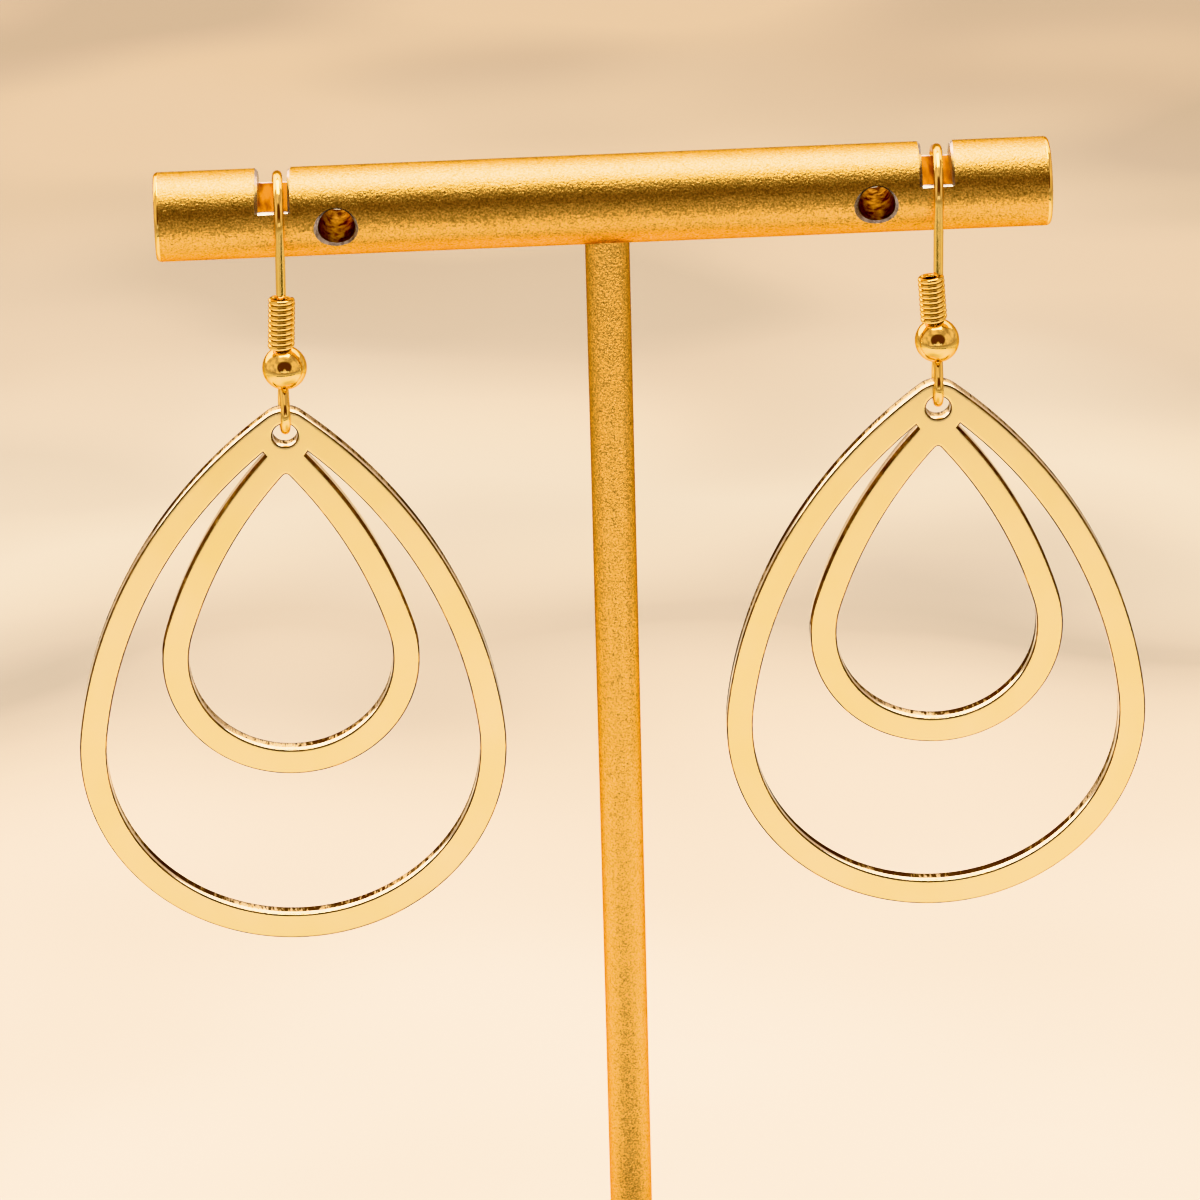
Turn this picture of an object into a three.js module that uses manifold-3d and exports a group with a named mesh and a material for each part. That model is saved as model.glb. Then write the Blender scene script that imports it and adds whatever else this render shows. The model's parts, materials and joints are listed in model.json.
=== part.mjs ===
// A pair of drop earrings hanging on a T-shaped display stand.
// Millimetres. +Z is up, X runs along the stand's bar, -Y is the front. The origin is the centre of
// the base's underside, where the stand rests.
import * as THREE from "three";
import { mergeVertices } from "three/addons/utils/BufferGeometryUtils.js";
import Module from "manifold-3d";

const wasm = await Module();
wasm.setup();

const BASE = { radius: 25, thickness: 4, edge: 0.6, socketRadius: 1.65, socketFloor: 1, segments: 64 };
const ROD = { radius: 1.5, foot: 1.3, segments: 32 };
const BAR = { radius: 3, length: 60.2, edge: 0.35, axisHeight: 100, segments: 48 };
const NOTCH = { at: [-22.33, 22.2], width: 2, floorAboveAxis: 1.1 };
const CROSS_HOLE = { at: [-18.1, 18.1], radius: 1.25, segments: 24 };

// Heights and depths of the hooks are measured from the bar's axis.
// The wire runs in a YZ plane. It leaves the top of its eye and goes up in front of the bar, over the
// two edges of the notch floor and down behind: each stretch is straight, or an arc bent backwards.
const WIRE = { radius: 0.325, sides: 8, steps: 48 };
const LEG = { y: -3.4, topZ: 0.06 };
const EYE = { radius: 1.25, centreZ: -13.12, segments: 32 };
const WIRE_ROUTE = [
  { straight: LEG.topZ - EYE.centreZ - EYE.radius },
  { radius: 2.7, turn: 113 },
  { straight: 2.8 },
  { radius: 2.5, turn: 45 },
  { straight: 6.2 },
];
const BEAD = { radius: 1.5, bore: 0.48, centreZ: -9.9, segments: 28 };
const COIL = { bottomZ: -8.5, pitch: 0.385, radius: 0.9, bore: 0.5, groove: 0.14, segments: 20 };

// A teardrop outline has a round bottom and two long side arcs, which run into the bottom arc
// `blend` radians above its centre and meet in an apex rounded by tipRadius.
// Its heights are measured from the centre of the hanging hole.
const OUTER_EDGE = { bottomRadius: 14.6, bottomZ: -23.75, sideRadius: 35, blend: 0.123, tipRadius: 2 };
const INNER_EDGE = { bottomRadius: 6.9, bottomZ: -16.75, sideRadius: 32.3, blend: 0.289, tipRadius: 0.25 };
const PLATE = { thickness: 1.2, outerBand: 1.88, innerBand: 1.86, holeRadius: 0.9, holeBelowEye: 1.57 };
const SLIT = { outerEndZ: -1.28, innerEndZ: -1.5 };
const CHORD_ERROR = 0.012;

// Neither earring hangs quite true. x: place along the bar; lean: degrees that it hangs out of plumb;
// archTurn and eyeTurn: twist of the arch and of the eye; bow: sideways bend of the front leg;
// coilTurns and coilTilt: length and slant of the loose coil; coilShift and beadShift: sideways play.
const EARRINGS = [
  { name: "left", x: -22, lean: 1.1, archTurn: 1, eyeTurn: 4, bow: 0,
    coilTurns: 10, coilTilt: -2, coilShift: -0.02, beadShift: 0.1 },
  { name: "right", x: 22.12, lean: 0.4, archTurn: -3, eyeTurn: -1.5, bow: -0.35,
    coilTurns: 9, coilTilt: 4, coilShift: -0.39, beadShift: -0.06 },
];

const blastedGold = new THREE.MeshStandardMaterial({ color: 0xd8a24a, roughness: 0.5, metalness: 1 });
const polishedGold = new THREE.MeshStandardMaterial({ color: 0xe6b84e, roughness: 0.12, metalness: 1 });
const stampedGold = new THREE.MeshStandardMaterial({ color: 0xf0cd8a, roughness: 0.3, metalness: 1 });

function toSolid(geometry) {
  const bare = geometry.clone();
  bare.deleteAttribute("normal");
  bare.deleteAttribute("uv");
  const merged = mergeVertices(bare, 1e-5);
  const vertProperties = new Float32Array(merged.attributes.position.array);
  const triVerts = new Uint32Array(merged.index.array);
  return new wasm.Manifold(new wasm.Mesh({ numProp: 3, vertProperties, triVerts }));
}

function toGeometry(solid) {
  const { vertProperties, triVerts } = solid.getMesh();
  const geometry = new THREE.BufferGeometry();
  geometry.setAttribute("position", new THREE.BufferAttribute(vertProperties, 3));
  geometry.setIndex(new THREE.BufferAttribute(triVerts, 1));
  geometry.computeVertexNormals();
  return geometry;
}

function mesh(name, geometry, material) {
  const piece = new THREE.Mesh(geometry, material);
  piece.name = name;
  return piece;
}

// Turns a profile of [radius, height] pairs around Z.
function latheZ(profile, segments) {
  const points = profile.map(([r, z]) => new THREE.Vector2(r, z));
  return new THREE.LatheGeometry(points, segments).rotateX(Math.PI / 2);
}

// Points of an arc from angle a0 to a1, close enough together to stay within CHORD_ERROR of it.
function arc(cx, cy, radius, a0, a1) {
  const step = 2 * Math.acos(1 - CHORD_ERROR / radius);
  const count = Math.max(2, Math.ceil(Math.abs(a1 - a0) / step));
  return Array.from({ length: count + 1 }, (_, i) => {
    const a = a0 + ((a1 - a0) * i) / count;
    return new THREE.Vector2(cx + radius * Math.cos(a), cy + radius * Math.sin(a));
  });
}

// ---- stand ----

function standBase() {
  const { radius, thickness, edge, socketRadius, socketFloor, segments } = BASE;
  const profile = [
    [0, 0],
    [radius - edge, 0],
    [radius, edge],
    [radius, thickness - edge],
    [radius - edge, thickness],
    [socketRadius, thickness],
    [socketRadius, socketFloor],
    [0, socketFloor],
  ];
  return mesh("stand_base", latheZ(profile, segments), blastedGold);
}

// The bar is soldered across the top of the rod, so the two are one solid.
function standTee() {
  const half = BAR.length / 2;
  const rim = BAR.radius - BAR.edge;
  const barProfile = [
    [0, -half],
    [rim, -half],
    [BAR.radius, BAR.edge - half],
    [BAR.radius, half - BAR.edge],
    [rim, half],
    [0, half],
  ];
  const bar = latheZ(barProfile, BAR.segments).rotateY(Math.PI / 2).translate(0, 0, BAR.axisHeight);
  const rodProfile = [
    [0, ROD.foot],
    [ROD.radius, ROD.foot],
    [ROD.radius, BAR.axisHeight],
    [0, BAR.axisHeight],
  ];
  let tee = toSolid(bar).add(toSolid(latheZ(rodProfile, ROD.segments)));
  for (const x of NOTCH.at) {
    const cutHeight = 2 * BAR.radius;
    const cut = new THREE.BoxGeometry(NOTCH.width, 3 * BAR.radius, cutHeight);
    cut.translate(x, 0, BAR.axisHeight + NOTCH.floorAboveAxis + cutHeight / 2);
    tee = tee.subtract(toSolid(cut));
  }
  for (const x of CROSS_HOLE.at) {
    const { radius, segments } = CROSS_HOLE;
    const drill = new THREE.CylinderGeometry(radius, radius, 3 * BAR.radius, segments);
    tee = tee.subtract(toSolid(drill.translate(x, 0, BAR.axisHeight)));
  }
  return mesh("stand_tee", toGeometry(tee), blastedGold);
}

// ---- hook, coil and bead ----

class EarWire extends THREE.Curve {
  constructor(bow, archTurn) {
    super();
    this.bow = bow;
    this.drift = -Math.tan(radians(archTurn));
    this.lengths = WIRE_ROUTE.map(({ straight, radius, turn }) => straight ?? radius * radians(turn));
    this.total = this.lengths.reduce((sum, length) => sum + length, 0);
  }

  getPoint(t, target = new THREE.Vector3()) {
    let left = t * this.total;
    const alongLeg = Math.min(left / this.lengths[0], 1);
    const bend = this.bow * Math.sin(Math.PI * alongLeg) ** 2;
    let y = LEG.y;
    let z = EYE.centreZ + EYE.radius;
    let heading = Math.PI / 2;
    WIRE_ROUTE.forEach(({ radius }, i) => {
      const run = Math.min(left, this.lengths[i]);
      left -= run;
      if (radius) {
        const next = heading - run / radius;
        y += radius * (Math.sin(heading) - Math.sin(next));
        z += radius * (Math.cos(next) - Math.cos(heading));
        heading = next;
      } else {
        y += run * Math.cos(heading);
        z += run * Math.sin(heading);
      }
    });
    return target.set(bend + this.drift * (y - LEG.y), y, z);
  }
}

function radians(degrees) {
  return THREE.MathUtils.degToRad(degrees);
}

function earHook(name, { bow, archTurn, eyeTurn }) {
  const corners = Array.from({ length: WIRE.sides }, (_, i) => (2 * Math.PI * i) / WIRE.sides);
  const section = corners.map((a) => new THREE.Vector2(Math.cos(a), Math.sin(a)).multiplyScalar(WIRE.radius));
  const options = { steps: WIRE.steps, extrudePath: new EarWire(bow, archTurn) };
  const wire = new THREE.ExtrudeGeometry(new THREE.Shape(section), options);
  const eye = new THREE.TorusGeometry(EYE.radius, WIRE.radius, WIRE.sides, EYE.segments);
  eye.rotateY(Math.PI / 2).rotateZ(radians(eyeTurn)).translate(0, LEG.y, EYE.centreZ);
  return mesh(name, toGeometry(toSolid(wire).add(toSolid(eye))), polishedGold);
}

// A close-wound coil, as a ribbed sleeve with a rib for each turn.
function coil(name, { coilTurns, coilTilt, coilShift }) {
  const { bottomZ, pitch, radius, bore, groove, segments } = COIL;
  const height = coilTurns * pitch;
  const profile = [[radius - groove, 0]];
  for (let turn = 0; turn < coilTurns; turn++) {
    const z = turn * pitch;
    profile.push([radius, z + 0.3 * pitch], [radius, z + 0.7 * pitch], [radius - groove, z + pitch]);
  }
  profile.push([bore, height], [bore, 0], profile[0]);
  const sleeve = latheZ(profile, segments).translate(0, 0, -height / 2).rotateY(-radians(coilTilt));
  return mesh(name, sleeve.translate(coilShift, LEG.y, bottomZ + height / 2), polishedGold);
}

function bead(name, { beadShift }) {
  const { radius, bore, centreZ, segments } = BEAD;
  const end = Math.acos(bore / radius);
  const shell = arc(0, centreZ, radius, -end, end).map((p) => [p.x, p.y]);
  const ball = latheZ([...shell, shell[0]], segments).translate(beadShift, LEG.y, 0);
  return mesh(name, ball, polishedGold);
}

// ---- stamped double teardrop ----

function sideCentre({ bottomRadius, bottomZ, sideRadius, blend }) {
  const reach = sideRadius - bottomRadius;
  return [-reach * Math.cos(blend), bottomZ - reach * Math.sin(blend)];
}

function offset(edge, distance) {
  const moved = { ...edge };
  for (const key of ["bottomRadius", "sideRadius", "tipRadius"]) moved[key] += distance;
  return moved;
}

function mirrored(points) {
  return points.map((p) => new THREE.Vector2(-p.x, p.y)).reverse();
}

// The stretch of an edge that lies below the angle `top` of its right side arc, from the top of
// its left side, round the bottom, to the top of its right side.
function lowerStretch(edge, top) {
  const { bottomRadius, bottomZ, sideRadius, blend } = edge;
  const rightSide = arc(...sideCentre(edge), sideRadius, blend, top);
  const bottom = arc(0, bottomZ, bottomRadius, -Math.PI - blend, blend);
  return [...mirrored(rightSide), ...bottom.slice(1, -1), ...rightSide];
}

function wholeEdge(edge) {
  const [cx, cz] = sideCentre(edge);
  const apexZ = cz + Math.sqrt((edge.sideRadius - edge.tipRadius) ** 2 - cx ** 2);
  const top = Math.atan2(apexZ - cz, -cx);
  const tip = arc(0, apexZ, edge.tipRadius, top, Math.PI - top);
  return [...lowerStretch(edge, top), ...tip.slice(1, -1)];
}

// The gap between the two rings: a crescent whose horns narrow to blunt slits beside the hole.
function crescent() {
  const outside = offset(OUTER_EDGE, -PLATE.outerBand);
  const inside = offset(INNER_EDGE, PLATE.innerBand);
  const angleAt = (edge, z) => Math.asin((z - sideCentre(edge)[1]) / edge.sideRadius);
  const outsideStretch = lowerStretch(outside, angleAt(outside, SLIT.outerEndZ));
  const insideStretch = lowerStretch(inside, angleAt(inside, SLIT.innerEndZ));
  return [...outsideStretch, ...insideStretch.reverse()];
}

function drop(name) {
  const outline = new THREE.Shape(wholeEdge(OUTER_EDGE));
  outline.holes.push(new THREE.Path(crescent()));
  outline.holes.push(new THREE.Path(wholeEdge(INNER_EDGE)));
  outline.holes.push(new THREE.Path(arc(0, 0, PLATE.holeRadius, 0, 2 * Math.PI).slice(1)));
  const plate = new THREE.ExtrudeGeometry(outline, { depth: PLATE.thickness, bevelEnabled: false });
  plate.translate(0, -PLATE.holeBelowEye, -PLATE.thickness / 2).rotateX(Math.PI / 2);
  return mesh(name, plate, stampedGold);
}

// ---- assembly ----

function earring(side) {
  const hung = new THREE.Group();
  hung.position.set(side.x, 0, BAR.axisHeight);
  hung.rotation.y = radians(side.lean);
  hung.add(earHook(`${side.name}_ear_hook`, side));
  hung.add(coil(`${side.name}_coil`, side));
  hung.add(bead(`${side.name}_bead`, side));
  const pendant = drop(`${side.name}_drop`);
  pendant.position.set(0, LEG.y, EYE.centreZ);
  hung.add(pendant);
  return hung;
}

const display = new THREE.Group();
display.add(standBase(), standTee(), ...EARRINGS.map(earring));

export default display;
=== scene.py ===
"""Looks of a pair of drop earrings hanging on a T-bar stand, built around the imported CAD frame."""
import json
from math import acos, asin, atan2, ceil, cos, degrees, pi, radians, sin, sqrt, tan

import bmesh
import bpy
from mathutils import Matrix, Vector
from mathutils.geometry import tessellate_polygon

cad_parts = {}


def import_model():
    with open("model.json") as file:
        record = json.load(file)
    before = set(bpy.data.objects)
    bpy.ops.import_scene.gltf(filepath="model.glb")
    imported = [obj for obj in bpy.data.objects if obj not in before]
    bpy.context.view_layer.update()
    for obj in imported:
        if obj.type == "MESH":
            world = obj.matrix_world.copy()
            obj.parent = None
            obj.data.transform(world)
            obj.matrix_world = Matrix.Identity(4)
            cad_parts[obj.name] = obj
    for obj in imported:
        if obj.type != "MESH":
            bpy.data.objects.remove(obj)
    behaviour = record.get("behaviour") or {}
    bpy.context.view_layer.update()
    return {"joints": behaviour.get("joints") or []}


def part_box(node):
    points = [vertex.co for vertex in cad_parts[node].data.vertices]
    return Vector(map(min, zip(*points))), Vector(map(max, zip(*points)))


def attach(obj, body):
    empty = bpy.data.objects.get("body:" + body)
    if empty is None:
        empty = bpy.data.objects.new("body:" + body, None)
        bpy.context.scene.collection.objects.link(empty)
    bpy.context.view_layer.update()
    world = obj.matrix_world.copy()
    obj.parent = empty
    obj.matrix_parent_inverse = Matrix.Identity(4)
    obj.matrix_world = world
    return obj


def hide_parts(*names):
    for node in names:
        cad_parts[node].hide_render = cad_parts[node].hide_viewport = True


# Lengths below are in millimetres, as in the CAD source, and become metres when a mesh is made.
MM = 0.001

# The notches and cross holes are cut this many degrees off square, seen from above.
CUT_SKEW = 1.5

# The middle of the bar's length lies off_centre from the rod. Its ends are rounded by rim.
BAR = {"radius": 3.0, "length": 60.2, "off_centre": -0.22, "rim": 0.28, "segments": 160}
ROD = {"radius": 1.5, "foot": 1.3, "bevel": 0.2, "segments": 96}
BASE = {"radius": 25.0, "thickness": 4.0, "edge": 0.6, "segments": 192}
SOCKET = {"radius": 1.65, "floor": 1.0, "bevel": 0.15}

# Each notch has a flat floor, this high above the bar's axis, that falls away at its front and back lips.
NOTCH = {"at": (-22.33, 22.2), "width": 2.0, "floor": 1.1, "chamfer": 0.19, "lip": 0.09, "lip_slope": 35}

# The cross holes rise this many degrees towards the back.
CROSS_HOLE = {"at": (-18.1, 18.1), "radius": 1.25, "rise": 2.5, "segments": 72}
HOLE_CHAMFER = {"front": 0.24, "rear": 0.1}

# Heights of the hook, coil and bead are measured from the centre of the eye.
WIRE = {"radius": 0.325, "sides": 28}
EYE = {"radius": 1.25, "bend": 0.4, "neck": 2.0, "end": (0.62, 1.62), "steps": 90, "bend_steps": 12}
LEG_TOP = 13.18

# Above the leg: the radius and turn of each arc, or None and the length of a straight stretch.
ARCH = ((2.7, 113.0), (None, 2.8), (2.5, 45.0), (None, 6.2))
ARCH_STEP = 0.22
BEAD = {"radius": 1.5, "bore": 0.48, "mouth": 0.06, "height": 3.22, "segments": 64}
COIL = {"pitch": 0.385, "wire": 0.186, "radius": 0.714, "bottom": 4.62, "start": 2.9,
        "sides": 16, "steps": 32}

# Heights of the drop's outlines are measured from the centre of its hanging hole.
OUTER_EDGE = {"bottom_radius": 14.6, "bottom": -23.75, "side_radius": 35.0, "blend": 0.123, "tip": 2.0}
INNER_EDGE = {"bottom_radius": 6.9, "bottom": -16.75, "side_radius": 32.3, "blend": 0.289, "tip": 0.25}
PLATE = {"thickness": 1.2, "outer_band": 1.88, "inner_band": 1.86, "hole": 0.81, "below_eye": 1.57}
SLIT = {"outer_end": -1.28, "inner_end": -1.5}
CHORD_ERROR = 0.0015

# The finishes of the stand's bar and rod, and of a drop, in the order of their materials.
OUTSIDE, CHAMFER, NOTCH_FLOOR, HOLE_WALL, END_RIM = range(5)
FACE, EDGE, SHEARED, TORN = range(4)

# Across the rim of the plate, from the front face to the back one: how far in from the cut wall, how
# far behind the front face, and the finish of the strip that ends there. The sheared part of the wall
# slopes to the front and the torn part to the back.
RIM = (
    (0.3, 0.0, FACE), (0.25, 0.0, FACE), (0.2, 0.001, FACE), (0.17, 0.004, FACE), (0.13, 0.009, FACE),
    (0.09, 0.024, EDGE), (0.052, 0.052, EDGE), (0.034, 0.09, EDGE), (0.012, 0.44, SHEARED),
    (0.03, 1.06, TORN), (0.05, 1.16, EDGE), (0.06, 1.19, EDGE), (0.08, 1.2, EDGE), (0.12, 1.2, FACE),
)

# Above this height the walls of the crescent opening are dull: what each finish becomes there.
DULL_ABOVE = -16.0
DULLED = {FACE: FACE, EDGE: EDGE, SHEARED: EDGE, TORN: SHEARED}

# How each earring has settled out of true. Its lean and the twist of its eye are in its joint's axis.
SIDES = {
    "left": {"drop_size": 1.012, "arch_turn": 1.0, "bow": 0.0,
             "turns": 10, "tilt": -2.0, "coil_x": -0.02, "bead_x": 0.1},
    "right": {"drop_size": 1.0, "arch_turn": -3.0, "bow": -0.35,
              "turns": 9, "tilt": 4.0, "coil_x": -0.39, "bead_x": -0.06},
}

# The camera looks at a point that lies this far from the middle of the bar.
CAMERA = {"azimuth": -2.191, "elevation": 26.213, "roll": -1.508, "distance": 460.575, "lens": 199.54}
CAMERA_TARGET = (-1.121, 0.0, -30.045)
LIGHTS_AIM = (0, 0, 70)

# The floor's colour by the distance from a point in front of the stand, both in metres: painted shade, cream
# near the stand and falling to a darker tan with soft painted shadows behind.
FLOOR_FROM = (0, -0.06, 0)
FLOOR_PAINTED_LIGHT_AND_SHADOW = (
    (0.155, (0.97, 0.85, 0.79)), (0.185, (0.74, 0.64, 0.59)), (0.228, (0.27, 0.228, 0.2)),
    (0.261, (0.42, 0.37, 0.34)), (0.295, (0.29, 0.243, 0.21)), (0.375, (0.255, 0.2, 0.157)),
)
FLOOR_HALF = 900.0
FLAG = {"inner": 187, "outer": 224, "half_angle": 48, "step": 4, "height": 1}


# ---- mesh helpers ----

def make_mesh(name, verts, faces, smooth_angle=35.0):
    """A mesh object from points in millimetres, with its faces turned outwards."""
    bm = bmesh.new()
    points = [bm.verts.new(Vector(v) * MM) for v in verts]
    for face in faces:
        bm.faces.new([points[i] for i in face])
    bmesh.ops.recalc_face_normals(bm, faces=bm.faces)
    mesh = bpy.data.meshes.new(name)
    bm.to_mesh(mesh)
    bm.free()
    mesh.shade_smooth()
    mesh.set_sharp_from_angle(angle=radians(smooth_angle))
    piece = bpy.data.objects.new(name, mesh)
    bpy.context.scene.collection.objects.link(piece)
    return piece


def place(piece, matrix):
    """Bakes a placement, in millimetres, into the mesh."""
    turn = matrix.to_3x3().to_4x4()
    shift = Matrix.Translation(matrix.translation * MM)
    piece.data.transform(shift @ turn)
    return piece


def finish_piece(piece, body, node, slot, *materials):
    for material in materials:
        piece.data.materials.append(material)
    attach(piece, body)
    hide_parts(node)
    return piece


def bridge(faces, a, b, count, closed=True):
    """Adds a strip of quads between two rings of points that start at indices a and b."""
    for i in range(count if closed else count - 1):
        j = (i + 1) % count
        faces.append((a + i, a + j, b + j, b + i))


def lathe(name, profile, segments, closed=False, smooth_angle=35.0):
    """Turns a profile of (radius, height) points round Z. An open profile starts and ends on the axis."""
    verts, faces, rings = [], [], []
    for radius, height in profile:
        rings.append((len(verts), radius > 0))
        count = segments if radius > 0 else 1
        for i in range(count):
            a = 2 * pi * i / segments
            verts.append((radius * cos(a), radius * sin(a), height))
    pairs = list(zip(rings, rings[1:] + rings[:1] if closed else rings[1:]))
    for (a, wide_a), (b, wide_b) in pairs:
        if wide_a and wide_b:
            bridge(faces, a, b, segments)
        elif wide_a or wide_b:
            tip, ring = (b, a) if wide_a else (a, b)
            faces += [(ring + i, ring + (i + 1) % segments, tip) for i in range(segments)]
    return make_mesh(name, verts, faces, smooth_angle)


def tangents(path):
    ahead = [(b - a).normalized() for a, b in zip(path, path[1:])]
    inner = [(a + b).normalized() for a, b in zip(ahead, ahead[1:])]
    return [ahead[0], *inner, ahead[-1]]


def dome_rings(ring, dome):
    """Three ever smaller rings ahead of a wire's last ring or, with a negative dome, behind its first."""
    point, direction, side, radius = ring
    steps = [radians(a) for a in (25, 48, 68)]
    return [(point + direction * radius * dome * sin(a), direction, side, radius * cos(a)) for a in steps]


def sweep(name, path, radius, sides, dome=0.5):
    """A round wire along a path, with slightly domed ends."""
    path = [Vector(p) for p in path]
    along = tangents(path)
    side = along[0].orthogonal().normalized()
    rings = []
    for point, direction in zip(path, along):
        side = (side - direction * side.dot(direction)).normalized()
        rings.append((point, direction, side, radius))
    head = dome_rings(rings[0], -dome)
    tail = dome_rings(rings[-1], dome)
    rings = head[::-1] + rings + tail
    verts, faces = [], []
    for point, direction, across, r in rings:
        up = direction.cross(across)
        for i in range(sides):
            a = 2 * pi * i / sides
            verts.append(point + (across * cos(a) + up * sin(a)) * r)
    for k in range(len(rings) - 1):
        bridge(faces, k * sides, (k + 1) * sides, sides)
    ends = ((0, path[0] - along[0] * radius * dome), (len(rings) - 1, path[-1] + along[-1] * radius * dome))
    for ring, end in ends:
        tip = len(verts)
        verts.append(end)
        faces += [(ring * sides + i, ring * sides + (i + 1) % sides, tip) for i in range(sides)]
    return make_mesh(name, verts, faces, 60.0)


def combine(target, operation, *others):
    """Joins solids to the target or cuts them from it, and removes them."""
    for other in others:
        modifier = target.modifiers.new("combine", "BOOLEAN")
        modifier.operation = operation
        modifier.solver = "EXACT"
        modifier.object = other
        graph = bpy.context.evaluated_depsgraph_get()
        mesh = bpy.data.meshes.new_from_object(target.evaluated_get(graph))
        target.modifiers.remove(modifier)
        old = target.data
        target.data = mesh
        bpy.data.meshes.remove(old)
        bpy.data.objects.remove(other)
    return target


def prism(name, outline, x0, x1):
    """A cutter of one outline of (y, z) points, drawn out along X."""
    count = len(outline)
    verts = [(x, y, z) for x in (x0, x1) for y, z in outline]
    faces = [tuple(range(count)), tuple(range(count, 2 * count))]
    bridge(faces, 0, count, count)
    return make_mesh(name, verts, faces)


# ---- stand ----

def arc_profile(cx, cz, radius, a0, a1, count):
    angles = [radians(a0 + (a1 - a0) * i / count) for i in range(count + 1)]
    return [(cx + radius * cos(a), cz + radius * sin(a)) for a in angles]


def skewed(x):
    """Turns a notch's cutter about the upright line through its own middle."""
    there, back = Matrix.Translation((x, 0, 0)), Matrix.Translation((-x, 0, 0))
    return there @ Matrix.Rotation(-radians(CUT_SKEW), 4, "Z") @ back


def hole_frame(x):
    """Where a cross hole's drill stood: through the bar's centre, skewed, rising a little to the back."""
    turn = Matrix.Rotation(-radians(CUT_SKEW), 4, "Z") @ Matrix.Rotation(radians(CROSS_HOLE["rise"]), 4, "X")
    return Matrix.Translation((x, 0, 0)) @ turn


def rim_cutter(side, chamfer):
    """A ring that cuts the chamfer round one mouth of a cross hole: side is -1 in front and 1 behind."""
    radius = CROSS_HOLE["radius"]
    count = CROSS_HOLE["segments"]
    clear = 0.4
    corners = ((-clear, -chamfer - clear), (chamfer + clear, clear), (-clear, clear))
    verts, faces = [], []
    for i in range(count):
        a = 2 * pi * (i + 0.5) / count
        rim_z = radius * sin(a)
        depth = sqrt(BAR["radius"] ** 2 - rim_z ** 2)
        for out, up in corners:
            r = radius + out
            verts.append((r * cos(a), side * (depth + up), r * sin(a)))
    ring = len(corners)
    for i in range(count):
        a, b = i * ring, (i + 1) % count * ring
        for j in range(ring):
            k = (j + 1) % ring
            faces.append((a + j, a + k, b + k, b + j))
    return make_mesh("cutter", verts, faces)


def notch_cutters(x):
    """The notch with its two bevelled lips, and the chamfer round the top edges of its walls."""
    half, bottom, chamfer = NOTCH["width"] / 2, NOTCH["floor"], NOTCH["chamfer"]
    radius = BAR["radius"]
    reach = 1.5 * radius
    lip_y = sqrt(radius ** 2 - bottom ** 2) - NOTCH["lip"]
    fall = bottom - (reach - lip_y) * tan(radians(NOTCH["lip_slope"]))
    outline = [(-reach, fall), (-lip_y, bottom), (lip_y, bottom), (reach, fall),
               (reach, reach), (-reach, reach)]
    well = prism("cutter", outline, x - half, x + half)
    within, beyond = 0.1, 1.0
    inner, outer = radius - chamfer - within, radius + beyond
    spread = half + outer - radius + chamfer
    profile = [(inner, half - within), (outer, spread), (outer, -spread), (inner, within - half)]
    flare = lathe("cutter", profile, BAR["segments"], closed=True)
    # Half a segment's turn keeps the cutter's edges off the bar's own.
    half_segment = Matrix.Rotation(pi / BAR["segments"], 4, "Z")
    place(flare, Matrix.Translation((x, 0, 0)) @ Matrix.Rotation(radians(90), 4, "Y") @ half_segment)
    low = bottom - 0.02
    top_half = [(-reach, low), (reach, low), (reach, reach), (-reach, reach)]
    combine(flare, "INTERSECT", prism("cutter", top_half, x - reach, x + reach))
    return [place(well, skewed(x)), place(flare, skewed(x))]


def bar_and_rod(axis_height, *finishes):
    """The bar with its rod, notches and cross holes. The finishes after the first are for its cut faces."""
    half, rim, radius = BAR["length"] / 2, BAR["rim"], BAR["radius"]
    end = arc_profile(radius - rim, half - rim, rim, 90, 0, 6)
    profile = [(0, half), *end, *[(r, -z) for r, z in end[::-1]], (0, -half)]
    tee = lathe("bar_and_rod", profile, BAR["segments"])
    place(tee, Matrix.Translation((BAR["off_centre"], 0, 0)) @ Matrix.Rotation(radians(90), 4, "Y"))
    foot = ROD["foot"] - axis_height
    rod_profile = [(0, 0), (ROD["radius"], 0), (ROD["radius"], foot + ROD["bevel"]),
                   (ROD["radius"] - ROD["bevel"], foot), (0, foot)]
    combine(tee, "UNION", lathe("rod", rod_profile, ROD["segments"]))
    for x in NOTCH["at"]:
        combine(tee, "DIFFERENCE", *notch_cutters(x))
    bore, through = CROSS_HOLE["radius"], 5
    for x in CROSS_HOLE["at"]:
        drill_profile = [(0, -through), (bore, -through), (bore, through), (0, through)]
        drill = lathe("cutter", drill_profile, CROSS_HOLE["segments"])
        place(drill, Matrix.Rotation(radians(90), 4, "X"))
        cutters = (drill, rim_cutter(-1, HOLE_CHAMFER["front"]), rim_cutter(1, HOLE_CHAMFER["rear"]))
        combine(tee, "DIFFERENCE", *[place(cutter, hole_frame(x)) for cutter in cutters])
    place(tee, Matrix.Translation((0, 0, axis_height)))
    finish_piece(tee, "stand", "stand_tee", "blasted_gold", *finishes)
    for face in tee.data.polygons:
        face.material_index = cut_surface(face.center / MM, axis_height)
    tee.data.shade_smooth()
    tee.data.set_sharp_from_angle(angle=radians(22))
    return tee


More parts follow.
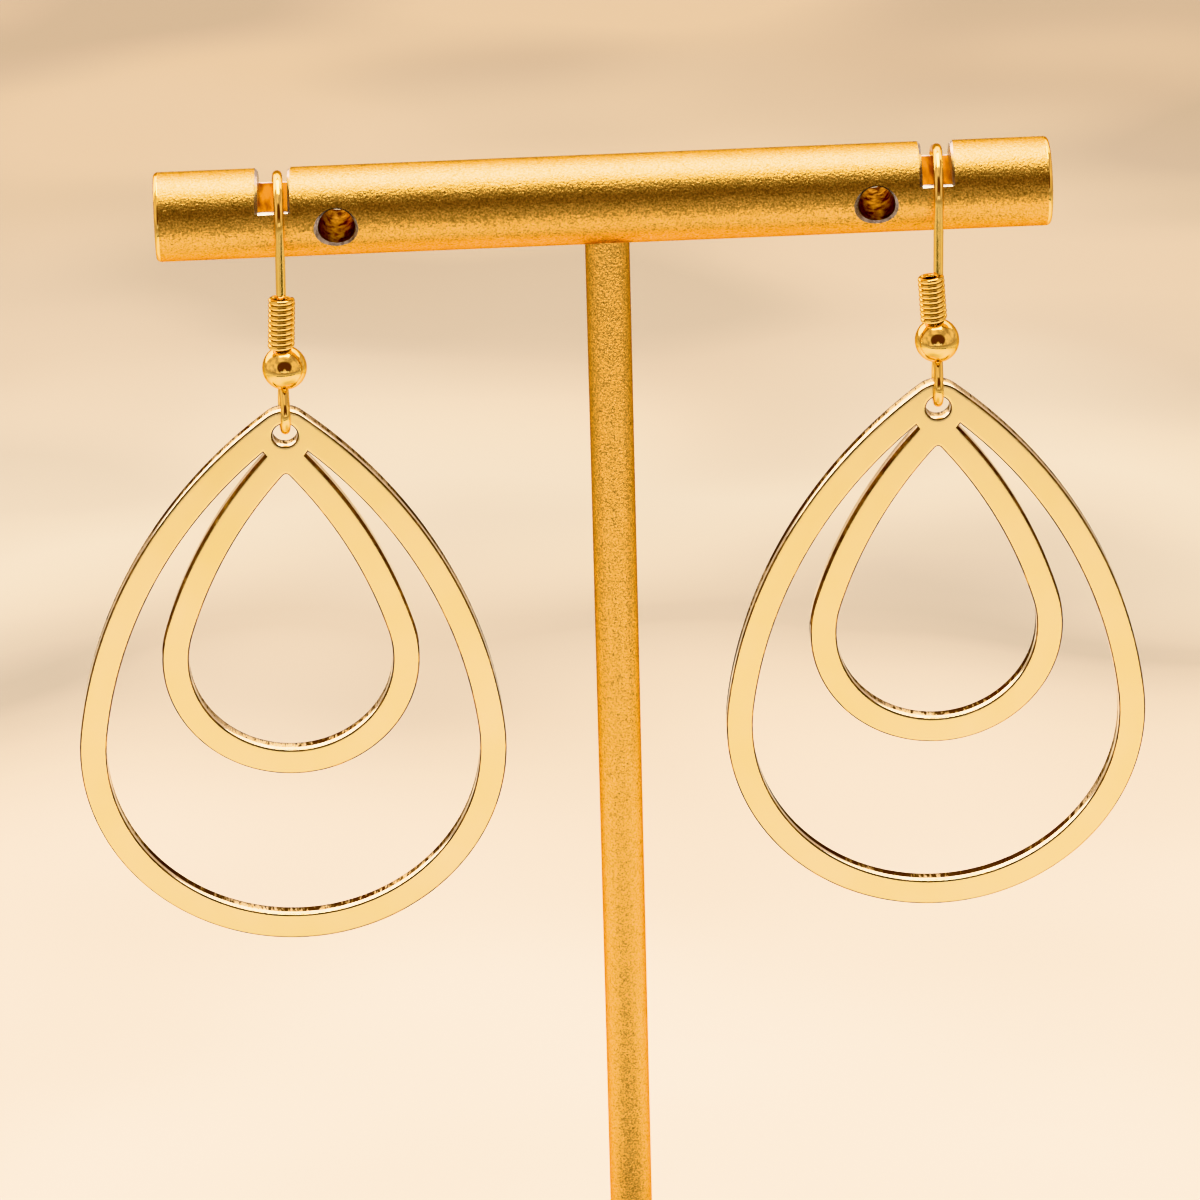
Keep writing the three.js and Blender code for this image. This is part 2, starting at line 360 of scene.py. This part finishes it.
def cut_surface(centre, axis_height):
    """The finish of the face round a point. The notches' walls are finished like the chamfers."""
    z = centre.z - axis_height
    from_axis = sqrt(centre.y ** 2 + z ** 2)
    facet_sag = 0.004
    on_rod = z < -1.5 * BAR["radius"]
    if from_axis > BAR["radius"] - facet_sag or on_rod:
        return OUTSIDE
    if abs(centre.x - BAR["off_centre"]) > BAR["length"] / 2 - BAR["rim"]:
        return END_RIM if from_axis > BAR["radius"] - BAR["rim"] else OUTSIDE
    for x in CROSS_HOLE["at"]:
        local = hole_frame(x).inverted() @ Vector((centre.x, centre.y, z))
        from_hole = local.xz.length
        if from_hole < CROSS_HOLE["radius"] + 0.001:
            return HOLE_WALL
        if from_hole < CROSS_HOLE["radius"] + 2 * HOLE_CHAMFER["front"]:
            return CHAMFER
    for x in NOTCH["at"]:
        local = skewed(x).inverted() @ Vector((centre.x, centre.y, z))
        if abs(local.x - x) < NOTCH["width"] / 2 + 2 * NOTCH["chamfer"]:
            inside = abs(local.x - x) < NOTCH["width"] / 2 - 0.001
            on_floor = inside and abs(z - NOTCH["floor"]) < 0.002
            return NOTCH_FLOOR if on_floor else CHAMFER
    return OUTSIDE


def base(gold):
    """The round base, with a socket for the rod."""
    radius, thickness, edge = BASE["radius"], BASE["thickness"], BASE["edge"]
    bore, bottom, bevel = SOCKET["radius"], SOCKET["floor"], SOCKET["bevel"]
    foot = arc_profile(radius - edge, edge, edge, -90, 0, 6)
    brow = arc_profile(radius - edge, thickness - edge, edge, 0, 90, 6)
    socket = [(bore + bevel, thickness), (bore, thickness - bevel), (bore, bottom), (0, bottom)]
    profile = [(0, 0), *foot, *brow, *socket]
    piece = lathe("round_base", profile, BASE["segments"])
    return finish_piece(piece, "stand", "stand_base", "blasted_gold", gold)


# ---- hook, coil and bead ----

def walk(start, heading, stretches, step):
    """Points in the YZ plane along straight stretches and arcs that bend backwards, about a step apart."""
    y, z = start
    points = [(y, z)]
    for radius, amount in stretches:
        length = amount if radius is None else radius * radians(amount)
        count = max(1, ceil(length / step))
        for _ in range(count):
            turn = 0 if radius is None else length / count / radius
            middle = heading - turn / 2
            chord = length / count if radius is None else 2 * radius * sin(turn / 2)
            y += chord * cos(middle)
            z += chord * sin(middle)
            heading -= turn
            points.append((y, z))
    return points


def eye_path():
    """The eye in the YZ plane, from its cut end behind the bead, down, under and up in front to the leg."""
    radius, bend, neck = EYE["radius"], EYE["bend"], EYE["neck"]
    end_y, end_z = EYE["end"]
    behind = atan2(end_z, end_y) - acos(radius / sqrt(end_y ** 2 + end_z ** 2))
    in_front = atan2(neck, -bend) + acos((radius + bend) / sqrt(bend ** 2 + neck ** 2)) - 2 * pi
    points = [(end_y, end_z)]
    for i in range(EYE["steps"] + 1):
        a = behind + (in_front - behind) * i / EYE["steps"]
        points.append((radius * cos(a), radius * sin(a)))
    for i in range(EYE["bend_steps"]):
        a = (in_front + pi) * (1 - i / EYE["bend_steps"])
        points.append((bend * cos(a) - bend, neck + bend * sin(a)))
    return points


def hook_path(side, twist):
    """The wire, from the cut end of its eye, up the leg, over the bar and down behind."""
    neck = EYE["neck"]
    rise = walk((0, neck), radians(90), ((None, LEG_TOP - neck), *ARCH), ARCH_STEP)
    points = [Vector((-y * tan(twist), y, z)) for y, z in eye_path()]
    drift = -tan(radians(side["arch_turn"]))
    for y, z in rise:
        share = min(max((z - neck) / (LEG_TOP - neck), 0), 1) if y <= 0 else 1
        points.append(Vector((side["bow"] * sin(pi * share) ** 2 + drift * y, y, z)))
    return points


def hook(name, node, side, twist, placement, gold):
    piece = sweep(name, hook_path(side, twist), WIRE["radius"], WIRE["sides"])
    place(piece, placement)
    return finish_piece(piece, "stand", node, "polished_gold", gold)


def coil(name, node, side, placement, gold):
    """A close-wound helix, its two ends cut off square, that marks where its surface lies in a groove."""
    turns, pitch = side["turns"], COIL["pitch"]
    height = turns * pitch
    count = (turns - 1) * COIL["steps"] + COIL["steps"] // 2
    rise = height - 2 * COIL["wire"]
    path = []
    for i in range(count + 1):
        a = 2 * pi * i / COIL["steps"] + COIL["start"]
        z = COIL["wire"] + rise * i / count - height / 2
        path.append((COIL["radius"] * cos(a), COIL["radius"] * sin(a), z))
    piece = sweep(name, path, COIL["wire"], COIL["sides"], dome=0.15)
    # How far a point lies outside the wire's own circle, or 1 on the free side of the first and last turns.
    # The coils' material paints shade where this is small.
    out = piece.data.attributes.new("out_of_groove", "FLOAT", "POINT")
    for number, vertex in enumerate(piece.data.vertices):
        along = min(max(number // COIL["sides"] - 3, 0), count)
        above = vertex.co.z / MM > path[along][2]
        at_end = along > count - COIL["steps"] if above else along < COIL["steps"]
        out.data[number].value = 1.0 if at_end else vertex.co.xy.length / MM - COIL["radius"]
    middle = Vector((side["coil_x"], 0, COIL["bottom"] + height / 2))
    place(piece, placement @ Matrix.Translation(middle) @ Matrix.Rotation(-radians(side["tilt"]), 4, "Y"))
    return finish_piece(piece, "stand", node, "polished_gold", gold)


def bead(name, node, side, placement, gold):
    """A ball with a bore, and a small rounding between the two."""
    radius, bore, mouth = BEAD["radius"], BEAD["bore"], BEAD["mouth"]
    end = degrees(acos((bore + mouth) / radius))
    shell = arc_profile(0, 0, radius, -end, end, 40)
    top = shell[-1][1]
    corner = (bore + 0.015, top + 0.005)
    profile = [*shell, corner, (bore, top - mouth), (bore, mouth - top), (corner[0], -corner[1])]
    piece = lathe(name, profile, BEAD["segments"], closed=True, smooth_angle=50)
    place(piece, placement @ Matrix.Translation((side["bead_x"], 0, BEAD["height"])))
    return finish_piece(piece, "stand", node, "polished_gold", gold)


# ---- stamped double teardrop ----

def arc(centre, radius, a0, a1):
    """Points of an arc, close enough together to stay within CHORD_ERROR of it."""
    step = 2 * acos(1 - CHORD_ERROR / radius)
    count = max(3, ceil(abs(a1 - a0) / step))
    angles = [a0 + (a1 - a0) * i / count for i in range(count + 1)]
    return [(centre[0] + radius * cos(a), centre[1] + radius * sin(a)) for a in angles]


def side_centre(edge):
    """The centre of the long arc on the right side of an edge."""
    reach = edge["side_radius"] - edge["bottom_radius"]
    return (-reach * cos(edge["blend"]), edge["bottom"] - reach * sin(edge["blend"]))


def offset(edge, distance):
    """The same edge moved outwards."""
    grown = {key: edge[key] + distance for key in ("bottom_radius", "side_radius", "tip")}
    return {**edge, **grown}


def lower_stretch(edge, top):
    """An edge below the angle `top` of its side arcs, from top left round the bottom to top right."""
    right = arc(side_centre(edge), edge["side_radius"], edge["blend"], top)
    left = [(-x, z) for x, z in right[::-1]]
    bottom = arc((0, edge["bottom"]), edge["bottom_radius"], -pi - edge["blend"], edge["blend"])
    return left + bottom[1:-1] + right


def whole_edge(edge):
    """A closed teardrop outline, its tip rounded."""
    cx, cz = side_centre(edge)
    apex = cz + sqrt((edge["side_radius"] - edge["tip"]) ** 2 - cx ** 2)
    top = atan2(apex - cz, -cx)
    return lower_stretch(edge, top) + arc((0, apex), edge["tip"], top, pi - top)[1:-1]


def crescent():
    """The opening between the two rings, whose horns end in blunt slits beside the hanging hole."""
    outside = offset(OUTER_EDGE, -PLATE["outer_band"])
    inside = offset(INNER_EDGE, PLATE["inner_band"])
    ends = []
    for edge, z in ((outside, SLIT["outer_end"]), (inside, SLIT["inner_end"])):
        ends.append(asin((z - side_centre(edge)[1]) / edge["side_radius"]))
    return lower_stretch(outside, ends[0]) + lower_stretch(inside, ends[1])[::-1]


def inset(loop, distance):
    """Moves a closed loop sideways, to the left of its direction of travel."""
    moved = []
    for i, (x, z) in enumerate(loop):
        before, after = loop[i - 1], loop[(i + 1) % len(loop)]
        n0 = Vector((before[1] - z, x - before[0])).normalized()
        n1 = Vector((z - after[1], after[0] - x)).normalized()
        miter = (n0 + n1) / max(1 + n0.dot(n1), 0.4)
        moved.append((x + miter.x * distance, z + miter.y * distance))
    return moved


def drop(name, node, body, size, placement, *finishes):
    """The plate: the rims of its four outlines, and the flat faces between them."""
    slit = crescent()[::-1]
    hole = arc((0, 0), PLATE["hole"], 0, 2 * pi)[:-1][::-1]
    loops = [whole_edge(OUTER_EDGE), slit, whole_edge(INNER_EDGE)[::-1], hole]
    half, below = PLATE["thickness"] / 2, PLATE["below_eye"]
    verts, faces, strips = [], [], []
    fronts, backs = [], []
    for loop in loops:
        first = len(verts)
        count = len(loop)
        for distance, depth, _ in RIM:
            verts += [(x * size, depth - half, z * size - below) for x, z in inset(loop, distance)]
        for k, (_, _, finish) in enumerate(RIM[1:]):
            bridge(faces, first + k * count, first + (k + 1) * count, count)
            strips += [DULLED[finish] if loop is slit and z > DULL_ABOVE else finish for _, z in loop]
        last = first + (len(RIM) - 1) * count
        fronts.append(range(first, first + count))
        backs.append(range(last, last + count))
    for flat in (fronts, backs):
        order = [i for loop in flat for i in loop]
        outlines = [[Vector((verts[i][0], verts[i][2], 0)) for i in loop] for loop in flat]
        faces += [tuple(order[i] for i in triangle) for triangle in tessellate_polygon(outlines)]
    piece = make_mesh(name, verts, faces, 40.0)
    place(piece, placement)
    finish_piece(piece, body, node, "stamped_gold", *finishes)
    for i, finish in enumerate(strips):
        piece.data.polygons[i].material_index = finish
    return piece


# ---- materials ----

class Nodes:
    """Short calls that add and link shader nodes."""

    def __init__(self, name, is_world=False):
        self.block = bpy.data.worlds.new(name) if is_world else bpy.data.materials.new(name)
        self.block.use_nodes = True
        self.tree = self.block.node_tree
        self.tree.nodes.clear()

    def add(self, kind, links=None, **values):
        """A node with its links, and values for its own settings or else for its sockets."""
        node = self.tree.nodes.new(kind)
        for key, value in values.items():
            if hasattr(node, key):
                setattr(node, key, value)
            else:
                node.inputs[key].default_value = value
        for socket, source in (links or {}).items():
            self.tree.links.new(source, node.inputs[socket])
        return node

    def ramp(self, source, *stops):
        """A colour ramp over stops of (position, colour)."""
        node = self.add("ShaderNodeValToRGB", {"Fac": source})
        ramp = node.color_ramp
        while len(ramp.elements) < len(stops):
            ramp.elements.new(0.5)
        for element, (position, colour) in zip(ramp.elements, stops):
            element.position = position
            element.color = (*colour, 1)
        return node.outputs["Color"]

    def noise(self, vector, scale, detail, roughness=0.5):
        node = self.add("ShaderNodeTexNoise", {"Vector": vector})
        for key, value in (("Scale", scale), ("Detail", detail), ("Roughness", roughness)):
            node.inputs[key].default_value = value
        return node.outputs["Fac"]

    def step(self, value, start, end):
        """A smooth step from 0 at start to 1 at end."""
        node = self.add("ShaderNodeMapRange", {"Value": value}, interpolation_type="SMOOTHSTEP")
        node.inputs["From Min"].default_value = start
        node.inputs["From Max"].default_value = end
        return node.outputs[0]

    def oval(self, direction, height, half_width, half_height):
        """How far a direction is from the middle of an oval on the front wall, 1 at the oval's edge."""
        node = self.add("ShaderNodeVectorMath", {0: direction}, operation="MULTIPLY_ADD")
        node.inputs[1].default_value = (1 / half_width, 0.0, 1 / half_height)
        node.inputs[2].default_value = (0.0, 0.0, -height / half_height)
        return self.add("ShaderNodeVectorMath", {0: node.outputs[0]}, operation="LENGTH").outputs["Value"]

    def grid(self, scale=(1, 1, 1)):
        """The mesh's own coordinates, in metres, stretched by scale."""
        source = self.add("ShaderNodeTexCoord").outputs["Object"]
        node = self.add("ShaderNodeMapping", {"Vector": source})
        node.inputs["Scale"].default_value = scale
        return node.outputs["Vector"]

    def bump(self, height, strength, distance):
        node = self.add("ShaderNodeBump", {"Height": height})
        node.inputs["Strength"].default_value = strength
        node.inputs["Distance"].default_value = distance
        return node.outputs["Normal"]

    def tinted(self, colour, shade):
        """One colour multiplied by another."""
        node = self.add("ShaderNodeMix", data_type="RGBA", blend_type="MULTIPLY")
        node.inputs[0].default_value = 1.0
        self.tree.links.new(colour, node.inputs[6])
        self.tree.links.new(shade, node.inputs[7])
        return node.outputs[2]

    def metal(self, links, **values):
        """Ends the material in a metal shader, and returns the material."""
        shader = self.add("ShaderNodeBsdfPrincipled")
        shader.inputs["Metallic"].default_value = 1.0
        for key, value in values.items():
            shader.inputs[key].default_value = value
        for key, source in links.items():
            self.tree.links.new(source, shader.inputs[key])
        output = self.add("ShaderNodeOutputMaterial")
        self.tree.links.new(shader.outputs["BSDF"], output.inputs["Surface"])
        return self.block


def grey(value):
    return (value, value, value)


def blasted_gold():
    """Fine bead-blasted matte plating, whose small facets sparkle where the light changes quickly."""
    n = Nodes("bead_blasted")
    grid = n.grid()
    grain = n.noise(grid, 6500, 2, 0.6)
    broad = n.noise(grid, 700, 2)
    ground = n.ramp(broad, (0.3, (0.63, 0.395, 0.115)), (0.7, (0.69, 0.44, 0.135)))
    speck = n.ramp(n.noise(grid, 7500, 1), (0.34, grey(0.6)), (0.66, grey(1.3)))
    pits = n.ramp(n.noise(grid, 3600, 2, 0.6), (0.3, grey(0.6)), (0.4, grey(1.0)))
    colour = n.tinted(n.tinted(ground, speck), pits)
    rough = n.ramp(broad, (0.3, grey(0.3)), (0.7, grey(0.33)))
    normal = n.bump(grain, 1.0, 0.00004)
    links = {"Base Color": colour, "Roughness": rough, "Normal": normal}
    return n.metal(links, **{"Specular Tint": (0.6, 0.3, 0.06, 1)})


def polished_gold():
    """Polished plating on drawn wire, with a trace of handling scratches."""
    n = Nodes("bright_polish")
    grid = n.grid()
    soft = n.noise(grid, 700, 2)
    fine = n.noise(grid, 6000, 3)
    colour = n.ramp(soft, (0.35, (0.96, 0.71, 0.24)), (0.65, (0.98, 0.76, 0.3)))
    rough = n.ramp(fine, (0.35, grey(0.06)), (0.7, grey(0.12)))
    normal = n.bump(soft, 0.12, 0.00005)
    links = {"Base Color": colour, "Roughness": rough, "Normal": normal}
    return n.metal(links, **{"Specular Tint": (0.85, 0.5, 0.15, 1)})


def wound_gold_painted_groove_shade():
    """The same plating on the coils, with painted shade, dark brown and rougher, in the grooves between their
    turns.
    """
    n = Nodes("wound_gold_painted_groove_shade")
    soft = n.noise(n.grid(), 1500, 2)
    out = n.add("ShaderNodeAttribute", attribute_name="out_of_groove").outputs["Fac"]
    # Painted shade: where the surface lies in a groove, the colour turns dark brown.
    share = n.step(out, 0.06, 0.14)
    colour = n.tinted(n.ramp(share, (0.0, (0.2, 0.1, 0.03)), (1.0, (1.0, 1.0, 1.0))),
                      n.ramp(soft, (0.35, (0.96, 0.71, 0.24)), (0.65, (0.98, 0.76, 0.3))))
    rough = n.ramp(share, (0.0, grey(0.35)), (1.0, grey(0.08)))
    links = {"Base Color": colour, "Roughness": rough, "Normal": n.bump(soft, 0.2, 0.00005)}
    return n.metal(links, **{"Specular Tint": (0.85, 0.5, 0.15, 1)})


def stamped_face():
    """The flat faces of a drop: smooth satin plating, with very faint rolling waves."""
    n = Nodes("stamped_face")
    grid = n.grid()
    cloud = n.noise(grid, 120, 3)
    speck = n.noise(grid, 5200, 2)
    colour = n.ramp(cloud, (0.32, (0.79, 0.665, 0.335)), (0.68, (0.85, 0.725, 0.43)))
    rough = n.ramp(speck, (0.3, grey(0.22)), (0.7, grey(0.26)))
    normal = n.bump(cloud, 0.04, 0.0002)
    return n.metal({"Base Color": colour, "Roughness": rough, "Normal": normal})


def rolled_edge():
    """The rounded rims of the plate, where the plating is thin, dulled and brown."""
    n = Nodes("rolled_edge")
    worn = n.noise(n.grid(), 900, 4, 0.75)
    colour = n.ramp(worn, (0.4, (0.06, 0.025, 0.008)), (0.56, (0.2, 0.1, 0.03)), (0.72, (0.5, 0.32, 0.11)))
    rough = n.ramp(worn, (0.35, grey(0.42)), (0.65, grey(0.28)))
    return n.metal({"Base Color": colour, "Roughness": rough}, **{"Specular Tint": (0.5, 0.3, 0.1, 1)})


def sheared_band():
    """The bright front part of a cut wall, with faint draw lines across the plate."""
    n = Nodes("sheared_band")
    lines = n.noise(n.grid((1, 0.05, 1)), 2600, 2, 0.6)
    colour = n.ramp(lines, (0.3, (0.93, 0.82, 0.58)), (0.55, (1.0, 0.94, 0.78)))
    normal = n.bump(lines, 0.35, 0.00002)
    return n.metal({"Base Color": colour, "Normal": normal}, Roughness=0.13)


def torn_band():
    """The rear part of a cut wall, where the metal tore: brown patches and streaks on pale metal."""
    n = Nodes("torn_band")
    patches = n.noise(n.grid(), 160, 1)
    streaks = n.noise(n.grid((1, 0.15, 1)), 5200, 2, 0.75)
    mixed = n.add("ShaderNodeMath", {0: patches, 1: streaks}, operation="MULTIPLY").outputs[0]
    brown, tan_brown, pale = (0.05, 0.025, 0.01), (0.4, 0.27, 0.13), (0.88, 0.76, 0.55)
    colour = n.ramp(mixed, (0.23, brown), (0.265, tan_brown), (0.33, pale))
    rough = n.ramp(streaks, (0.3, grey(0.4)), (0.7, grey(0.22)))
    normal = n.bump(streaks, 0.8, 0.00004)
    links = {"Base Color": colour, "Roughness": rough, "Normal": normal}
    return n.metal(links, **{"Specular Tint": (0.4, 0.3, 0.2, 1)})


def cut_edge():
    """Turned bare metal, silver rather than gold, on the notches' walls and the chamfers."""
    n = Nodes("cut_edge")
    marks = n.noise(n.grid(), 2400, 3, 0.7)
    colour = n.ramp(marks, (0.35, (0.27, 0.235, 0.24)), (0.6, (0.58, 0.545, 0.55)))
    normal = n.bump(marks, 0.5, 0.00003)
    return n.metal({"Base Color": colour, "Normal": normal}, Roughness=0.3)


def milled_gold_painted_shade():
    """The notches' floors: plating over cutter marks, deep orange, with painted shade darkening the colour in
    the notch.
    """
    n = Nodes("milled_gold_painted_shade")
    marks = n.noise(n.grid((1, 0.2, 1)), 1500, 3)
    # Painted shade: a dark colour that keeps the notch floor from reflecting brightly.
    colour = n.ramp(marks, (0.38, (0.13, 0.05, 0.01)), (0.6, (0.42, 0.2, 0.015)))
    normal = n.bump(marks, 0.5, 0.00004)
    values = {"Roughness": 0.3, "Specular Tint": (0.8, 0.4, 0.05, 1)}
    return n.metal({"Base Color": colour, "Normal": normal}, **values)


def drilled_hole_painted_shade():
    """Thin brown plating and drill marks inside the cross holes, the colour darkened further as painted
    shade.
    """
    n = Nodes("drilled_hole_painted_shade")
    marks = n.noise(n.grid(), 1800, 3, 0.6)
    # Painted shade: the dark colour stands in for the shade inside the holes.
    colour = n.ramp(marks, (0.38, (0.045, 0.022, 0.01)), (0.66, (0.33, 0.18, 0.07)))
    normal = n.bump(marks, 0.4, 0.00004)
    values = {"Roughness": 0.34, "Specular Tint": (0.35, 0.2, 0.08, 1)}
    return n.metal({"Base Color": colour, "Normal": normal}, **values)


# ---- studio ----

def floor():
    """A cream card with painted shade: a painted shadow under the stand and painted soft tan shadows
    deepening behind it; it fades out far away.
    """
    half = FLOOR_HALF
    corners = [(-half, -half, 0), (half, -half, 0), (half, half, 0), (-half, half, 0)]
    piece = make_mesh("floor", corners, [(0, 1, 2, 3)])
    n = Nodes("floor_card")
    grid = n.grid()
    from_front = n.add("ShaderNodeVectorMath", {0: grid}, operation="DISTANCE")
    from_front.inputs[1].default_value = FLOOR_FROM
    # Painted shadows: the floor darkens to tan with distance behind the stand, and noise makes the edge
    # uneven.
    clouds = n.noise(grid, 16, 1)
    uneven = n.add("ShaderNodeMath", {0: clouds, 2: from_front.outputs["Value"]}, operation="MULTIPLY_ADD")
    uneven.inputs[1].default_value = 0.07
    shade = n.ramp(uneven.outputs[0], *FLOOR_PAINTED_LIGHT_AND_SHADOW)
    # Painted soft shadow patches across the floor.
    patches = n.ramp(n.noise(n.grid((0.6, 1, 1)), 26, 1), (0.38, grey(0.86)), (0.62, grey(1.07)))
    # A painted shadow round the foot of the stand.
    from_base = n.add("ShaderNodeVectorMath", {0: grid}, operation="DISTANCE")
    from_base.inputs[1].default_value = (0, -0.03, 0)
    painted_base_shadow = n.ramp(n.step(from_base.outputs["Value"], 0.025, 0.066), (0.0, grey(0.4)), (1.0, grey(1.0)))
    card = n.add("ShaderNodeBsdfDiffuse", {"Color": n.tinted(n.tinted(shade, patches), painted_base_shadow)})
    away = n.add("ShaderNodeVectorMath", {0: grid}, operation="LENGTH").outputs["Value"]
    clear = n.add("ShaderNodeBsdfTransparent")
    far = n.step(away, 0.4, 0.8)
    fade = n.add("ShaderNodeMixShader", {"Fac": far, 1: card.outputs[0], 2: clear.outputs[0]})
    n.add("ShaderNodeOutputMaterial", {"Surface": fade.outputs[0]})
    piece.data.materials.append(n.block)


def flag():
    """A dark curved card lying in front of the stand, seen only in reflections, above all by the wires: a
    painted dark reflection, with no shadow of its own.
    """
    steps = FLAG["half_angle"] // FLAG["step"]
    angles = [radians(FLAG["step"] * i) for i in range(-steps, steps + 1)]
    verts, faces = [], []
    for radius in (FLAG["inner"], FLAG["outer"]):
        verts += [(radius * sin(a), -radius * cos(a), FLAG["height"]) for a in angles]
    bridge(faces, 0, len(angles), len(angles), closed=False)
    piece = make_mesh("flag", verts, faces)
    n = Nodes("black_card")
    # Painted dark reflection: this card is hidden from the camera, from diffuse light and from shadows.
    weave = n.noise(n.grid(), 900, 2)
    card = n.add("ShaderNodeBsdfDiffuse", {"Color": n.ramp(weave, (0.3, grey(0.01)), (0.7, grey(0.03)))})
    n.add("ShaderNodeOutputMaterial", {"Surface": card.outputs[0]})
    piece.data.materials.append(n.block)
    piece.visible_camera = False
    piece.visible_diffuse = False
    piece.visible_shadow = False


def area_light(name, towards, distance, size, power, colour, azimuth, elevation, spread=180):
    """A soft box at an azimuth (0 is the front, 90 the right) and elevation, aimed at a point."""
    data = bpy.data.lights.new(name, "AREA")
    data.shape = "RECTANGLE"
    data.size, data.size_y = size
    data.energy = power
    data.color = colour
    data.spread = radians(spread)
    lamp = bpy.data.objects.new(name, data)
    a, e = radians(azimuth), radians(elevation)
    back = Vector((sin(a) * cos(e), -cos(a) * cos(e), sin(e)))
    lamp.location = Vector(towards) * MM + back * distance
    lamp.rotation_mode = "QUATERNION"
    lamp.rotation_quaternion = (-back).to_track_quat("-Z", "Y")
    lamp.visible_camera = False
    bpy.context.scene.collection.objects.link(lamp)


def world():
    """A pale room, with a dark arch in its front wall. The camera itself sees only an even cream."""
    n = Nodes("studio", is_world=True)
    direction = n.add("ShaderNodeTexCoord").outputs["Generated"]
    beside = n.step(n.oval(direction, 0.32, 0.62, 0.49), 0.9, 1.1)
    under = n.step(n.oval(direction, -0.1, 0.17, 0.36), 1.1, 0.85)
    behind = n.step(n.add("ShaderNodeSeparateXYZ", {"Vector": direction}).outputs["Y"], -0.2, 0.1)
    pale = n.add("ShaderNodeMath", {0: beside, 1: behind}, operation="MAXIMUM").outputs[0]
    pale = n.add("ShaderNodeMath", {0: pale, 1: under}, operation="MAXIMUM").outputs[0]
    wall = n.ramp(n.noise(direction, 2.2, 3), (0.38, (0.48, 0.32, 0.22)), (0.62, (1.1, 0.82, 0.58)))
    room = n.add("ShaderNodeMix", {0: pale, 7: wall}, data_type="RGBA")
    room.inputs[6].default_value = (0.11, 0.03, 0.015, 1)
    reflected = n.add("ShaderNodeBackground", {"Color": room.outputs[2]})
    seen = n.add("ShaderNodeBackground", Color=(0.7, 0.58, 0.45, 1))
    path = n.add("ShaderNodeLightPath")
    by_camera = path.outputs["Is Camera Ray"]
    mix = n.add("ShaderNodeMixShader", {"Fac": by_camera, 1: reflected.outputs[0], 2: seen.outputs[0]})
    n.add("ShaderNodeOutputWorld", {"Surface": mix.outputs[0]})
    bpy.context.scene.world = n.block


def lights(centre):
    """Soft boxes above and behind, a thin strip in front, and a small pool of light on the floor in front."""
    white = (1.0, 0.95, 0.88)
    area_light("top_box", centre, 0.75, (0.6, 0.6), 12.0, (0.98, 1.02, 0.86), 180, 77)
    area_light("back_box", centre, 0.9, (0.6, 0.35), 2.2, white, 180, 35)
    area_light("left_window", centre, 0.8, (0.6, 0.7), 5.5, white, -138, 27)
    area_light("right_box", centre, 0.8, (0.5, 0.45), 2.0, white, 141, 35)
    area_light("front_strip", centre, 1.0, (0.8, 0.15), 0.3, white, 0, 0)
    area_light("floor_pool", (25, -130, 0), 0.9, (0.14, 0.06), 0.24, white, 0, 90, 9)


def camera(bar_centre):
    """The camera at the photograph's viewing angle, rolled a little."""
    data = bpy.data.cameras.new("camera")
    data.lens = CAMERA["lens"]
    data.sensor_width = 36.0
    data.clip_start, data.clip_end = 0.01, 20.0
    a, e, roll = (radians(CAMERA[key]) for key in ("azimuth", "elevation", "roll"))
    back = Vector((sin(a) * cos(e), -cos(a) * cos(e), sin(e)))
    level = (-back).cross(Vector((0, 0, 1))).normalized()
    up = level.cross(-back)
    right = level * cos(roll) + up * sin(roll)
    up = up * cos(roll) - level * sin(roll)
    turn = Matrix((right, up, back)).transposed().to_4x4()
    target = bar_centre + Vector(CAMERA_TARGET) * MM
    lens = bpy.data.objects.new("camera", data)
    lens.matrix_world = Matrix.Translation(target + back * CAMERA["distance"] * MM) @ turn
    bpy.context.scene.collection.objects.link(lens)
    bpy.context.scene.camera = lens


# ---- assembly ----

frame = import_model()

bar_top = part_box("stand_tee")[1].z / MM
bar_height = bar_top - BAR["radius"]
blasted, polished, wound = blasted_gold(), polished_gold(), wound_gold_painted_groove_shade()
plate_finishes = (stamped_face(), rolled_edge(), sheared_band(), torn_band())

bar_and_rod(bar_height, blasted, cut_edge(), milled_gold_painted_shade(), drilled_hole_painted_shade(), polished)
base(blasted)

for joint in frame["joints"]:
    label = joint["child"].removesuffix("_drop")
    side = SIDES[label]
    x, y, z = joint["axis"]
    lean, twist = atan2(-z, x), asin(y)
    eye = Vector(joint["pos_m"]) / MM
    placement = Matrix.Translation(eye) @ Matrix.Rotation(lean, 4, "Y")
    size = side["drop_size"]
    hook(f"{label}_hook_wire", f"{label}_ear_hook", side, twist, placement, polished)
    coil(f"{label}_wound_coil", f"{label}_coil", side, placement, wound)
    bead(f"{label}_bored_bead", f"{label}_bead", side, placement, polished)
    drop(f"{label}_teardrops", f"{label}_drop", joint["child"], size, placement, *plate_finishes)

floor()
flag()
world()
lights(LIGHTS_AIM)
camera(Vector((0, 0, bar_height * MM)))
bpy.context.scene.view_settings.view_transform = "Khronos PBR Neutral"
